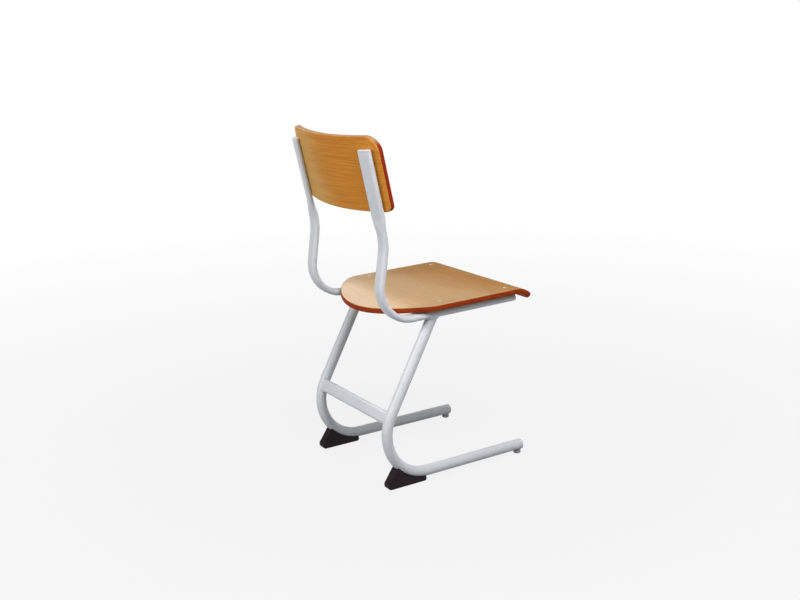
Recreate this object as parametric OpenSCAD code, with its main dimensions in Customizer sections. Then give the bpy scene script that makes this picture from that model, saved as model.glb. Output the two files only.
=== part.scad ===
// Student chair with a sled base: two bent steel side frames joined by a rear stretcher and a
// hidden seat cross rail, a bent plywood seat and a bent plywood back.
// Millimetres, +Z up, front of the chair toward -Y, the sitter's left toward +X.
// Origin: on the floor, in the middle of the chair's bounding box.

/* [Overall] */
// Distance between the centre planes of the two side frames
frame_spacing = 300; // [280:1:330]
// Height of the seat rail's axis where its rear bend starts
rail_height = 392; // [380:0.5:410]
// Slope of the seat rail, down toward the back, degrees
seat_slope = 1; // [0.5:0.1:2]
// Recline of the upper uprights and the back panel from vertical, degrees
back_recline = 12.5; // [10:0.1:15]
// Height of the top end of the uprights
upright_top = 769.5; // [755:0.5:785]

/* [Upper tubes: seat rail and upright in one piece] */
// Width of the flat-oval tube, measured across the chair
oval_width = 30; // [28:0.5:34]
// Thickness of the flat-oval tube
oval_depth = 15; // [14:0.5:17]
// Width of the tube where it is pressed flatter to carry the back
pressed_width = 34; // [32:0.5:36]
// Thickness of the tube where it is pressed flatter to carry the back
pressed_depth = 12; // [10:0.5:13]
// Length over which the tube turns and flattens to meet the curved back
pressed_run = 32; // [24:1:36]
// Wall thickness of all tubes
tube_wall = 1.5; // [1:0.1:2]
// Length of the straight seat rail, from its front end to its rear bend
rail_length = 284; // [278:1:292]
// Axis radius of the bend between the seat rail and the upright
rail_bend_radius = 78; // [70:1:84]
// Forward lean of the lower part of the upright, degrees
upright_lean = 8; // [5:0.5:11]
// Height at which the upright changes from leaning forward to reclining
lumbar_height = 568; // [560:1:576]
// Axis radius of that bend
lumbar_radius = 140; // [120:5:170]

/* [Lower tubes: runner and leg in one piece] */
// Outside diameter of the round tube
leg_diameter = 25; // [22:0.5:28]
// Height of the runner's axis above the floor
runner_height = 21; // [19:0.5:23]
// Length of the straight runner, from its front end to its rear bend
runner_length = 276.5; // [265:0.5:290]
// Axis radius of the bend between the runner and the leg
leg_bend_radius = 106; // [98:1:114]
// Forward lean of the leg, degrees
leg_lean = 28.2; // [26:0.1:31]
// Distance from the runner's front end back to the start of the seat rail's rear bend
rail_setback = 314.5; // [308:0.5:322]

/* [Cross tubes] */
// Tall side of the flat-oval stretcher between the legs
stretcher_tall = 30; // [24:0.5:34]
// Thin side of the flat-oval stretcher
stretcher_thin = 15; // [12:0.5:18]
// Position of the stretcher round the lower bend, degrees above the bend's centre
stretcher_angle = 21.5; // [15:0.5:26]
// Distance of the hidden seat cross rail in front of the rear bend
cross_rail_setback = 214; // [160:1:232]

/* [Seat] */
// Thickness of the plywood seat
seat_thickness = 13; // [11:0.5:14]
// Half the width of the seat
seat_half_width = 179.5; // [172:0.5:190]
// Height of the washers that carry the seat above the rails
spacer_height = 5; // [4.5:0.5:8]
// Radius of the seat's rear corners in plan
seat_corner_radius = 63; // [55:1:80]
// Radius of the middle of the seat's rear edge in plan
seat_rear_radius = 213; // [200:1:240]
// Distance the seat reaches behind the start of the rail's rear bend
seat_rear_reach = 57.5; // [48:0.5:62]
// Radius of the roll that takes the seat's rear edge down
seat_rear_roll = 380; // [340:5:420]
// Where that roll starts, in front of the rail's rear bend
seat_rear_roll_start = 49; // [40:1:60]
// Outside radius of the roll that takes the seat's front edge down
seat_front_roll = 62; // [54:1:68]
// Angle of the front roll, degrees
seat_front_turn = 52; // [40:1:56]
// Radius of the seat's front corners in plan
seat_front_corner = 16; // [8:1:24]

/* [Back] */
// Thickness of the plywood back
back_thickness = 12; // [9:0.5:14]
// Radius of the back's rear face
back_radius = 490; // [440:5:560]
// Half the width of the back, measured straight across
back_half_width = 178.5; // [170:0.5:186]
// Height of the upper edge of the back above its fixing point on the upright
back_above = 106.5; // [98:0.5:115]
// Depth of the lower edge of the back below that point
back_below = 60; // [50:0.5:64]
// Radius of the upper corners
back_top_corner = 36; // [20:1:40]
// Radius of the lower corners
back_low_corner = 13.5; // [8:0.5:24]
// Height of the fixing point on the upright's axis
back_height = 694; // [686:1:700]

/* [Feet and end plugs] */
// Width of the moulded rear foot
foot_width = 22; // [18:1:26]
// Length of the flat sole of the rear foot
foot_sole = 90; // [80:1:94]
// Diameter of the glide under the front end of the runner
glide_diameter = 18; // [14:1:20]
// Distance of that glide behind the front end of the runner
glide_setback = 8; // [8:1:14]
// Thickness of the flange of every end plug
plug_flange = 2; // [1:0.5:3]

/* [Fasteners] */
// Diameter of the rivet shanks
rivet_shank = 4; // [3.5:0.5:5]
// Diameter of the rivet heads
rivet_head = 8; // [7.5:0.5:10]
// Height of the rivet heads
rivet_rise = 1.5; // [1.2:0.1:2]
// Distance of the front seat rivets in front of the rail's rear bend
front_rivet = 265; // [255:1:268]
// Distance of the rear seat rivets in front of the rail's rear bend
rear_rivet = 79; // [78:1:105]

/* [Hidden] */
$fn = 64;
side = frame_spacing / 2;
rivet_hole = rivet_shank + 0.2;

// Upper tube: corner points of the side view, as [distance behind the runner's front end, height]
rail_end = [rail_setback, rail_height];
rail_bend = rail_end + rail_bend_radius * [sin(seat_slope), cos(seat_slope)];
upright_foot = rail_bend + rail_bend_radius * [cos(upright_lean), sin(upright_lean)];
lumbar_turn = upright_lean + back_recline;
lumbar_tangent = lumbar_radius * tan(lumbar_turn / 2);
upright_run = (lumbar_height - upright_foot[1]) / cos(upright_lean) - lumbar_tangent;
lumbar_start = upright_foot + upright_run * [-sin(upright_lean), cos(upright_lean)];
lumbar_centre = lumbar_start + lumbar_radius * [cos(upright_lean), sin(upright_lean)];
lumbar_end = lumbar_centre + lumbar_radius * [-cos(back_recline), sin(back_recline)];
pressed_length = (upright_top - lumbar_end[1]) / cos(back_recline);
fixing_run = (back_height - lumbar_end[1]) / cos(back_recline);

// The pressed part of the upright is turned until its wide face is tangent to the curved back
press_turn = asin(side / (back_radius + pressed_depth / 2));
back_axis = (back_radius + pressed_depth / 2) * cos(press_turn);

// Lower tube
leg_bend = [runner_length, runner_height + leg_bend_radius];
leg_foot = leg_bend + leg_bend_radius * [cos(leg_lean), sin(leg_lean)];
leg_run = (rail_height - leg_foot[1] + 20) / cos(leg_lean);
stretcher_at = leg_bend + leg_bend_radius * [cos(stretcher_angle), sin(stretcher_angle)];

// Seat, measured from the rail's axis at its rear bend
seat_under = oval_depth / 2 + spacer_height;
seat_top = seat_under + seat_thickness;
seat_front = -front_rivet - 13;
corner_x = seat_half_width - seat_corner_radius;
rear_centre = seat_rear_reach - seat_rear_radius;
corner_reach = seat_rear_radius - seat_corner_radius + 0.1;
corner_y = rear_centre + sqrt(corner_reach * corner_reach - corner_x * corner_x);
sector_angle = atan2(corner_x, corner_y - rear_centre);

// Middle of the chair from front to back, between the seat's nose and the top of the back
nose_drop = seat_top - seat_front_roll * (1 - cos(seat_front_turn));
seat_nose = rail_setback + (seat_front - seat_front_roll * sin(seat_front_turn)) * cos(seat_slope)
    + nose_drop * sin(seat_slope);
back_rear = lumbar_end[0] + fixing_run * sin(back_recline)
    + (back_radius - back_axis) * cos(back_recline) + back_above * sin(back_recline);
middle = (back_rear + min(seat_nose, -plug_flange)) / 2;

// Frames of reference

// Side-view drawing stood up: drawing X to the chair's back, drawing Y up, thickness across
module stood_up() {
    rotate([90, 0, 90]) children();
}

// The other way round: a section drawn on X and Y, extruded along a stood-up drawing's Y
module along_y() {
    rotate([-90, 0, 0]) rotate([0, 0, -90]) children();
}

// From the runner's front end to the origin
module on_chair() {
    translate([0, -middle, 0]) children();
}

// Along the seat rail: Y to the back, Z out of its upper face
module on_rail() {
    translate([0, rail_end[0], rail_end[1]]) rotate([-seat_slope, 0, 0]) children();
}

// Stood-up drawing at the foot of the upright, Y along it
module at_upright() {
    on_rail() translate([0, 0, rail_bend_radius]) stood_up()
        rotate([0, 0, seat_slope + upright_lean]) translate([rail_bend_radius, 0, 0]) children();
}

// Stood-up drawing at the centre of the lumbar bend
module at_lumbar() {
    at_upright() translate([lumbar_radius, upright_run, 0]) children();
}

// Along the reclining upper part of the upright, Z up it, Y to the back
module on_upper() {
    at_lumbar() rotate([0, 0, -lumbar_turn]) translate([-lumbar_radius, 0, 0]) along_y() children();
}

// Stood-up drawing at the centre of the lower bend
module at_leg_bend() {
    translate([0, leg_bend[0], leg_bend[1]]) stood_up() children();
}

// Sections

module flat_oval(w, t) {
    square([w - t, t], center = true);
    translate([(w - t) / 2, 0]) circle(d = t);
    translate([-(w - t) / 2, 0]) circle(d = t);
}

// Slice of a disc, centred on the drawing's Y axis
module pie(r, half_angle) {
    intersection() {
        circle(r = r);
        polygon([[0, 0], 2 * r * [sin(half_angle), cos(half_angle)], [0, 2 * r],
            2 * r * [-sin(half_angle), cos(half_angle)]]);
    }
}

// Upper tube, solid, with its flat-oval section shrunk all round by "in".
// The rail, both bends and the lower upright are plain; above the lumbar bend the section turns
// about its own axis and flattens, and from there to the top it stays as pressed.
// Each bend is a full ring cut off square by the end planes of the straight lengths beside it.
module upper_sweep(turn, in) {
    w = oval_width - 2 * in;
    t = oval_depth - 2 * in;
    pw = pressed_width - 2 * in;
    pt = pressed_depth - 2 * in;
    over = in > 0 ? 1 : 0;
    on_rail() translate([0, -rail_length - over, 0]) rotate([-90, 0, 0])
        linear_extrude(rail_length + over) flat_oval(w, t);
    intersection() {
        on_rail() translate([0, 0, rail_bend_radius]) stood_up()
            rotate_extrude() translate([rail_bend_radius, 0]) rotate(90) flat_oval(w, t);
        on_rail() translate([-40, 0, -40]) cube([80, 200, 240]);
        at_upright() translate([-240, -200, -40]) cube([280, 200, 80]);
    }
    at_upright() along_y() linear_extrude(upright_run) flat_oval(w, t);
    intersection() {
        at_lumbar() rotate_extrude() translate([lumbar_radius, 0]) rotate(90) flat_oval(w, t);
        at_lumbar() translate([-240, 0, -40]) cube([240, 120, 80]);
        at_lumbar() rotate([0, 0, -lumbar_turn]) translate([-240, -120, -40]) cube([240, 120, 80]);
    }
    on_upper() hull() {
        translate([0, 0, -0.5]) linear_extrude(0.02) flat_oval(w - 0.3, t - 0.3, $fn = 32);
        translate([0, 0, pressed_run + 0.48]) rotate(turn)
            linear_extrude(0.02) flat_oval(pw - 0.3, pt - 0.3, $fn = 32);
    }
    on_upper() translate([0, 0, pressed_run]) rotate(turn)
        linear_extrude(pressed_length - pressed_run + over) flat_oval(pw, pt);
}

// Rivet holes through the seat rail
module seat_holes(z0, z1) {
    for (y = [-front_rivet, -rear_rivet])
        on_rail() translate([0, y, z0]) cylinder(d = rivet_hole, h = z1 - z0);
}

// The two places along the pressed upright where the back is riveted on
module at_back_rivets(turn) {
    for (z = [-36, 46])
        on_upper() translate([0, 0, fixing_run + z]) rotate(turn) rotate([-90, 0, 0]) children();
}

// Seat rail and upright: one bent tube per side. Hand is +1 on the sitter's left, -1 on the right
module rail_upright(hand) {
    turn = -hand * press_turn;
    color("lightgray") on_chair() translate([hand * side, 0, 0]) difference() {
        upper_sweep(turn, 0);
        upper_sweep(turn, tube_wall);
        seat_holes(-oval_depth, oval_depth);
        at_back_rivets(turn) mirror([0, 0, 1]) cylinder(d = rivet_hole, h = pressed_depth);
    }
}

module left_rail_upright() {
    rail_upright(1);
}

module right_rail_upright() {
    rail_upright(-1);
}

// Lower tube in three lengths, solid, with its radius shrunk by "in"
module runner_length_of_tube(in) {
    over = in > 0 ? 1 : 0;
    at_leg_bend() translate([0, -leg_bend_radius, 0]) rotate([0, -90, 0])
        cylinder(r = leg_diameter / 2 - in, h = runner_length + over);
}

// Full ring on which the lower bend lies
module leg_ring(in) {
    at_leg_bend() rotate_extrude() translate([leg_bend_radius, 0]) circle(r = leg_diameter / 2 - in);
}

module bend_length_of_tube(in) {
    intersection() {
        leg_ring(in);
        at_leg_bend() translate([0, -160, -40]) cube([160, 320, 80]);
        at_leg_bend() rotate([0, 0, leg_lean]) translate([-160, -160, -40]) cube([320, 160, 80]);
    }
}

module leg_length_of_tube(in) {
    at_leg_bend() rotate([0, 0, leg_lean]) translate([leg_bend_radius, 0, 0]) rotate([-90, 0, 0])
        cylinder(r = leg_diameter / 2 - in, h = leg_run);
}

module lower_sweep(in) {
    runner_length_of_tube(in);
    bend_length_of_tube(in);
    leg_length_of_tube(in);
}

// Runner and leg: one bent tube per side, cut off level with the underside of the seat rail
module leg_runner(hand) {
    color("lightgray") on_chair() translate([hand * side, 0, 0]) difference() {
        lower_sweep(0);
        lower_sweep(tube_wall);
        on_rail() translate([-40, -300, -oval_depth / 2]) cube([80, 340, 80]);
        at_foot_screw() cylinder(d = 4.2, h = 36);
        at_glide() cylinder(d = 6.2, h = runner_height);
    }
}

module left_leg_runner() {
    leg_runner(1);
}

module right_leg_runner() {
    leg_runner(-1);
}

// Rear stretcher: flat-oval tube, tall side along the legs, its ends cut to fit their round backs
module rear_stretcher() {
    color("lightgray") on_chair() difference() {
        translate([-side, stretcher_at[0], stretcher_at[1]]) rotate([stretcher_angle, 0, 0]) stood_up()
            linear_extrude(2 * side) difference() {
                rotate(90) flat_oval(stretcher_tall, stretcher_thin);
                rotate(90) flat_oval(stretcher_tall - 2 * tube_wall, stretcher_thin - 2 * tube_wall);
            }
        for (hand = [-1, 1])
            translate([hand * side, 0, 0]) leg_ring(-0.03);
    }
}

// Seat cross rail, out of sight under the seat, its ends cut to fit the rails' rounded sides
module seat_cross_rail() {
    reach = 2 * side;
    color("lightgray") on_chair() difference() {
        on_rail() translate([-side, -cross_rail_setback, 0]) stood_up()
            linear_extrude(reach) difference() {
                flat_oval(oval_width, oval_depth);
                flat_oval(oval_width - 2 * tube_wall, oval_depth - 2 * tube_wall);
            }
        for (hand = [-1, 1])
            on_rail() translate([hand * side, -rail_length, 0]) rotate([-90, 0, 0])
                linear_extrude(rail_length) flat_oval(oval_width + 0.04, oval_depth + 0.04);
    }
}

// Bent plywood before its outline is cut: flat, a tight roll down at the front, a long one behind
module seat_blank() {
    half = seat_half_width + 5;
    translate([-half, seat_front, seat_under])
        cube([2 * half, -seat_rear_roll_start - seat_front, seat_thickness]);
    translate([0, -seat_rear_roll_start, seat_top - seat_rear_roll]) stood_up() rotate([0, 0, 70])
        rotate_extrude(angle = 20) translate([seat_rear_roll - seat_thickness, -half])
            square([seat_thickness, 2 * half]);
    translate([0, seat_front, seat_top - seat_front_roll]) stood_up() rotate([0, 0, 90])
        rotate_extrude(angle = seat_front_turn) translate([seat_front_roll - seat_thickness, -half])
            square([seat_thickness, 2 * half]);
}

// Plan of the seat: straight front and sides, round back drawn with three tangent arcs
module seat_plan() {
    front = seat_front - seat_front_roll * sin(seat_front_turn) - 0.5;
    r = seat_front_corner;
    translate([-seat_half_width, front + r]) square([2 * seat_half_width, corner_y - front - r]);
    translate([-seat_half_width + r, front]) square([2 * (seat_half_width - r), 2 * r]);
    for (hand = [-1, 1]) {
        translate([hand * (seat_half_width - r), front + r]) circle(r = r);
        translate([hand * corner_x, corner_y]) circle(r = seat_corner_radius);
    }
    translate([0, rear_centre]) pie(seat_rear_radius, sector_angle);
}

module seat_panel() {
    color("burlywood") on_chair() difference() {
        on_rail() intersection() {
            seat_blank();
            translate([0, 0, -40]) linear_extrude(90) seat_plan();
        }
        for (hand = [-1, 1])
            translate([hand * side, 0, 0]) seat_holes(seat_under - 1, seat_top + 1);
    }
}

// Front view of the back: wide corner radii above, tighter ones below
module back_outline() {
    a = back_top_corner;
    b = back_low_corner;
    w = back_half_width;
    translate([-w + a, -back_below]) square([2 * (w - a), back_above + back_below]);
    translate([-w, -back_below + b]) square([2 * w, back_above + back_below - a - b]);
    translate([-w + b, -back_below]) square([2 * (w - b), back_above + back_below - a]);
    for (hand = [-1, 1]) {
        translate([hand * (w - a), back_above - a]) circle(r = a);
        translate([hand * (w - b), -back_below + b]) circle(r = b);
    }
}

// Back: a slice of a cylinder, hollow side to the sitter, resting on the turned faces of the uprights
module back_panel() {
    tall = back_above + back_below + 2;
    color("peru") on_chair() difference() {
        on_upper() translate([0, 0, fixing_run]) intersection() {
            translate([0, -back_axis, -back_below - 1]) difference() {
                cylinder(r = back_radius, h = tall, $fn = 180);
                translate([0, 0, -1])
                    cylinder(r = back_radius - back_thickness, h = tall + 2, $fn = 180);
            }
            translate([0, 60, 0]) rotate([90, 0, 0]) linear_extrude(160) back_outline();
        }
        for (hand = [-1, 1])
            translate([hand * side, 0, 0]) at_back_rivets(-hand * press_turn)
                translate([0, 0, -60]) cylinder(d = rivet_hole, h = 60);
    }
}

// Low domed head, flat side down on the XY plane
module rivet_dome(d, h) {
    r = (d * d / 4 + h * h) / (2 * h);
    intersection() {
        translate([0, 0, h - r]) sphere(r = r);
        cylinder(d = d + 1, h = h + 1);
    }
}

// Rivet from z = -length up to z = 0, a domed head above and a set head below
module rivet(length) {
    rivet_dome(rivet_head, rivet_rise);
    translate([0, 0, -length - rivet_rise]) cylinder(d = rivet_shank, h = length + rivet_rise + 0.2);
    translate([0, 0, -length]) mirror([0, 0, 1]) rivet_dome(rivet_head - 1, rivet_rise - 0.2);
}

// Plain washers that hold the plywood clear of the rails
module seat_spacers() {
    color("white") on_chair() for (hand = [-1, 1])
        for (y = [-front_rivet, -rear_rivet])
            on_rail() translate([hand * side, y, oval_depth / 2]) difference() {
                cylinder(d = 18, h = spacer_height);
                translate([0, 0, -1]) cylinder(d = rivet_hole, h = spacer_height + 2);
            }
}

module seat_rivets() {
    color("silver") on_chair() for (hand = [-1, 1])
        for (y = [-front_rivet, -rear_rivet])
            on_rail() translate([hand * side, y, seat_top]) rivet(seat_top + oval_depth / 2);
}

// Blind rivets: a domed head on the front of the back, the set end swollen behind the tube's front wall
module back_rivets() {
    front = pressed_depth / 2 + back_thickness + 0.05;
    inside = pressed_depth / 2 - tube_wall;
    color("silver") on_chair() for (hand = [-1, 1])
        translate([hand * side, 0, 0]) at_back_rivets(-hand * press_turn) {
            translate([0, 0, -front]) mirror([0, 0, 1]) rivet_dome(rivet_head, rivet_rise);
            translate([0, 0, -front - 0.2]) cylinder(d = rivet_shank, h = front - inside + 3);
            translate([0, 0, -inside]) cylinder(d = rivet_shank + 2.5, h = 3.2);
        }
}

// Moulded wedge under the rear bend: flat sole, round heel, its top hollowed to cradle the tube
module foot_profile() {
    heel = leg_bend[0] + 111;
    toe = heel - foot_sole - 14;
    difference() {
        union() {
            translate([heel - 10, 10]) circle(r = 10);
            polygon([[toe + 4, 0], [heel - 10, 0], [heel - 1.5, 15.4], [heel - 22, 46],
                [heel - 40, 54], [toe + 2, 14], [toe, 4]]);
            translate([toe + 4, 4]) circle(r = 4);
        }
        translate(leg_bend) circle(r = leg_bend_radius + leg_diameter / 2 - 4.5);
    }
}

module at_foot_screw() {
    translate([0, leg_bend[0] + 60, 0]) children();
}

module rear_foot(hand) {
    color("black") on_chair() translate([hand * side, 0, 0]) difference() {
        translate([-foot_width / 2, 0, 0]) stood_up() linear_extrude(foot_width) foot_profile();
        lower_sweep(-0.02);
        at_foot_screw() translate([0, 0, -1]) cylinder(d = 9, h = 8);
        at_foot_screw() cylinder(d = 4.2, h = 60);
    }
}

module left_rear_foot() {
    rear_foot(1);
}

module right_rear_foot() {
    rear_foot(-1);
}

// Pan-head screws sunk in the soles of the rear feet
module foot_screws() {
    color("dimgray") on_chair() for (hand = [-1, 1])
        translate([hand * side, 0, 0]) at_foot_screw() {
            difference() {
                translate([0, 0, 3.8]) cylinder(d = 8, h = 3.2);
                translate([-0.6, -5, 3]) cube([1.2, 10, 2]);
            }
            translate([0, 0, 6.9]) cylinder(d = 4, h = 25);
        }
}

module at_glide() {
    translate([0, glide_setback, 0]) children();
}

// Glide under the front of the runner, cradling the tube, with a peg into it
module front_glide(hand) {
    color("gray") on_chair() translate([hand * side, 0, 0]) {
        difference() {
            at_glide() union() {
                cylinder(d1 = glide_diameter - 3, d2 = glide_diameter, h = 1.5);
                translate([0, 0, 1.5]) cylinder(d = glide_diameter, h = runner_height - 11);
            }
            lower_sweep(-0.02);
        }
        at_glide() translate([0, 0, 3]) cylinder(d = 6, h = runner_height - 9);
    }
}

module left_front_glide() {
    front_glide(1);
}

module right_front_glide() {
    front_glide(-1);
}

// End plug: flange above the XY plane, hollow stem below it
module oval_plug(w, t) {
    linear_extrude(plug_flange) flat_oval(w, t);
    translate([0, 0, -12]) linear_extrude(12.1) difference() {
        flat_oval(w - 2 * tube_wall - 0.2, t - 2 * tube_wall - 0.2);
        flat_oval(w - 2 * tube_wall - 3.2, t - 2 * tube_wall - 3.2);
    }
}

module upright_plug(hand) {
    turn = -hand * press_turn;
    color("gray") on_chair() translate([hand * side, 0, 0]) on_upper()
        translate([0, 0, pressed_length]) rotate(turn) oval_plug(pressed_width, pressed_depth);
}

module left_upright_plug() {
    upright_plug(1);
}

module right_upright_plug() {
    upright_plug(-1);
}

module rail_plug(hand) {
    color("gray") on_chair() on_rail() translate([hand * side, -rail_length, 0]) rotate([90, 0, 0])
        oval_plug(oval_width, oval_depth);
}

module left_rail_plug() {
    rail_plug(1);
}

module right_rail_plug() {
    rail_plug(-1);
}

module runner_plug(hand) {
    color("gray") on_chair() translate([hand * side, 0, runner_height]) rotate([90, 0, 0]) {
        cylinder(d = leg_diameter, h = plug_flange);
        translate([0, 0, -4]) difference() {
            cylinder(d = leg_diameter - 2 * tube_wall - 0.2, h = 4.1);
            translate([0, 0, -1]) cylinder(d = leg_diameter - 2 * tube_wall - 4, h = 4);
        }
    }
}

module left_runner_plug() {
    runner_plug(1);
}

module right_runner_plug() {
    runner_plug(-1);
}

left_rail_upright();
right_rail_upright();
left_leg_runner();
right_leg_runner();
rear_stretcher();
seat_cross_rail();
seat_panel();
back_panel();
seat_spacers();
seat_rivets();
back_rivets();
left_rear_foot();
right_rear_foot();
foot_screws();
left_front_glide();
right_front_glide();
left_upright_plug();
right_upright_plug();
left_rail_plug();
right_rail_plug();
left_runner_plug();
right_runner_plug();
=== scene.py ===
"""Finishes and fine shapes of a student chair, built around its fixed frame of solids."""

from math import asin, atan2, ceil, cos, pi, radians, sin, sqrt

import bmesh
import bpy
from bpy.props import FloatProperty, FloatVectorProperty, IntProperty, PointerProperty
from bpy.types import Operator, Panel, PropertyGroup
from mathutils import Matrix, Vector


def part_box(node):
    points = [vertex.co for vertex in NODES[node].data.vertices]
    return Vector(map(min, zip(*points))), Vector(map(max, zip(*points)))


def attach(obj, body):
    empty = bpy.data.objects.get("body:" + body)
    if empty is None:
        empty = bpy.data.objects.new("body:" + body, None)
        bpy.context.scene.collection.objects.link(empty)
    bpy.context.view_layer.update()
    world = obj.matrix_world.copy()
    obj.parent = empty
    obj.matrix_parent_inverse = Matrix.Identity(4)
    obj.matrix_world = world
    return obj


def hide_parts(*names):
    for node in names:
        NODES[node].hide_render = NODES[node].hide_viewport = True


bl_info = {
    "name": "Student Chair Finisher",
    "version": (1, 0, 0),
    "blender": (4, 5, 0),
    "location": "View3D > Sidebar > Chair",
    "description": "Dresses the solids of a student chair with plywood, powder coat and moulded plastic",
    "category": "Object",
}

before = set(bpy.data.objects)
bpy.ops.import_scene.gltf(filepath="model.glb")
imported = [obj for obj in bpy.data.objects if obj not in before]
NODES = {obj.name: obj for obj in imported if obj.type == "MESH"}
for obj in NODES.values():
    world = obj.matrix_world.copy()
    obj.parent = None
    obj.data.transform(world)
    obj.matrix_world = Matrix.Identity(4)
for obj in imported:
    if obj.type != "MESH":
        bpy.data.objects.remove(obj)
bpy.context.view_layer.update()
BODY = "root"
MM = 0.001

# The seat rail's frame: its origin is where the rail's rear bend starts, its Z leaves the rail's upper face
RUNNER_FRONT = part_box("left_leg_runner")[0].y
RAIL_SLOPE = radians(1)
RAIL_START = Vector((0, RUNNER_FRONT + 314.5 * MM, 392 * MM))
RAIL_FRAME = Matrix.Translation(RAIL_START) @ Matrix.Rotation(-RAIL_SLOPE, 4, "X")

# The side frames' tubes; a flat oval is given by half its flat and the radius of its ends
SIDE = 150 * MM
OVAL_FLAT = 7.5 * MM
OVAL_RADIUS = 7.5 * MM
LEG_RADIUS = 12.5 * MM
LEG_LEAN = radians(28.2)
LEG_BEND_RADIUS = 106 * MM
LEG_BEND = Vector((0, RUNNER_FRONT + 276.5 * MM, 127 * MM))
STRETCHER_ANGLE = radians(21.5)
CROSS_RAIL_SETBACK = 214 * MM

# The back's frame: Z up along the reclining uprights, Y to the rear
BACK_RECLINE = radians(12.5)
BACK_TURN = Matrix.Rotation(-BACK_RECLINE, 4, "X")

# Nodes that are dressed alike, and the layers that show on a plywood edge
HANDS = ("left", "right")
FRAME_TUBES = tuple(f"{hand}_{tube}" for tube in ("rail_upright", "leg_runner") for hand in HANDS)
FRAME_TUBES += ("rear_stretcher", "seat_cross_rail")
END_PLUGS = tuple(f"{hand}_{tube}_plug" for tube in ("upright", "rail", "runner") for hand in HANDS)
REAR_FEET = tuple(f"{hand}_rear_foot" for hand in HANDS)
FRONT_GLIDES = tuple(f"{hand}_front_glide" for hand in HANDS)
PLY_LAYERS = 4

# On a rear foot: the screw behind the middle of the leg's bend, and how far its hole and the hollow reach
FOOT_SCREW_BACK = 60 * MM
FOOT_SCREW_REACH = 5 * MM
CRADLE_REACH = LEG_BEND_RADIUS + LEG_RADIUS - 4.3 * MM

# Places a hair apart count as level; vertices within the weld distance become one
HAIR = 1e-6
WELD_DISTANCE = 2e-6

# In softened copies, edges flatter than the first angle go and those over the second are rounded
FLAT_ANGLE = radians(0.4)
SHARP_ANGLE = radians(40)

# Directions on the panels' flat maps in which a painted sheen makes the veneer paler, per metre
SEAT_PAINTED_SHEEN = (-1.2, 4.3, 0.0)
BACK_PAINTED_SHEEN = (6.0, -1.5, 0.0)

# The finishes: how far a skin's roughness strays, and how strongly reliefs show
ROUGHNESS_SPREAD = 0.08
SKIN_BUMP = 0.35
VENEER_BUMP = 0.25
VENEER_RELIEF = 0.12 * MM

# The studio: each softbox's place and size, and where they all aim
SOFTBOXES = {
    "rear": ((0.25, 2.9, 1.5), 0.9),
    "high": ((-1.78, 1.03, 2.85), 1.8),
    "side": ((-1.0, 0.0, 1.8), 1.0),
    "near": ((-1.4, 0.35, 0.55), 0.9),
    "far": ((2.58, -0.3, 1.95), 2.0),
    "front": ((0.6, -3.1, 0.9), 1.7),
}
LIGHT_AIM = Vector((0, 0, 0.4))

# The floor: its radius, its share of white near the chair, and where that share starts and stops growing
FLOOR_RADIUS = 9.0
FLOOR_WHITE = 0.86
FLOOR_FADE = (0.5, 3.0)

# The even light's colour, and how far up gloss mirrors the white backdrop
SKY_COLOUR = (0.97, 0.985, 1.0)
BACKDROP_TOP = 0.06


# Sizes and colours that a user would change


def colour(name, description, default):
    """A colour property, linear."""
    return FloatVectorProperty(
        name=name, description=description, default=default, size=3, min=0.0, max=1.0, subtype="COLOR"
    )


def length(name, description, default):
    """A length property in metres."""
    return FloatProperty(
        name=name,
        description=description,
        default=default,
        min=0.0,
        unit="LENGTH",
        subtype="DISTANCE",
        precision=4,
    )


def power(name, description, default):
    """A softbox's power in watts."""
    return FloatProperty(name=name, description=description, default=default, min=0.0, unit="POWER")


class ChairSeatSettings(PropertyGroup):
    thickness: length("Thickness", "Thickness of the plywood seat", 13 * MM)
    top: length("Top", "Height of the seat's upper face above the rail's axis", 25.5 * MM)
    front: length("Front", "Distance from the rear bend to the start of the front roll", 278 * MM)
    front_roll: length("Front roll", "Outside radius of the roll at the front edge", 62 * MM)
    front_turn: FloatProperty(
        name="Front turn",
        description="Angle through which the front edge rolls down",
        default=radians(52),
        subtype="ANGLE",
    )
    front_corner: length("Front corner", "Radius of the front corners in plan", 16 * MM)
    rear_roll: length("Rear roll", "Radius of the long roll at the rear", 380 * MM)
    rear_start: length("Rear roll start", "Where the rear roll starts, before the rail's bend", 49 * MM)
    rear_reach: length("Rear reach", "How far the seat reaches behind the start of the bend", 57.5 * MM)
    rear_radius: length("Rear radius", "Radius of the middle of the rear edge in plan", 213 * MM)
    corner: length("Rear corner", "Radius of the rear corners in plan", 63 * MM)


class ChairBackSettings(PropertyGroup):
    thickness: length("Thickness", "Thickness of the plywood back", 12 * MM)
    radius: length("Radius", "Radius of the back's rear face", 490 * MM)
    above: length("Above", "Height of the upper edge above the fixing point", 106.5 * MM)
    below: length("Below", "Depth of the lower edge below the fixing point", 60 * MM)
    top_corner: length("Top corner", "Radius of the upper corners", 36 * MM)
    low_corner: length("Low corner", "Radius of the lower corners", 13.5 * MM)
    tube_depth: length("Tube depth", "Thickness of the pressed tube behind the back", 12 * MM)


class ChairEdgeSettings(PropertyGroup):
    seat_round: length("Seat rounding", "Radius of the seat's rounded rims", 3.6 * MM)
    nose_round: length("Nose rounding", "Radius of the seat's front edge", 5.5 * MM)
    back_round: length("Back rounding", "Radius of the back's rounded rims", 2.4 * MM)
    crown_round: length("Crown rounding", "Radius of the back's upper edge", 1.6 * MM)
    stain_band: length("Stain band", "Width of the band in which the edge stain fades out", 4 * MM)
    foot_round: length("Foot rounding", "Radius of the moulded feet's edges", 3 * MM)
    plug_round: length("Plug rounding", "Radius of the small moulded edges", 0.5 * MM)
    strip: length("Strip", "Length of the strips that follow a bend", 6 * MM)
    rim_steps: IntProperty(
        name="Rim steps", description="Steps round each rounded rim", default=5, min=1, max=12
    )


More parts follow.
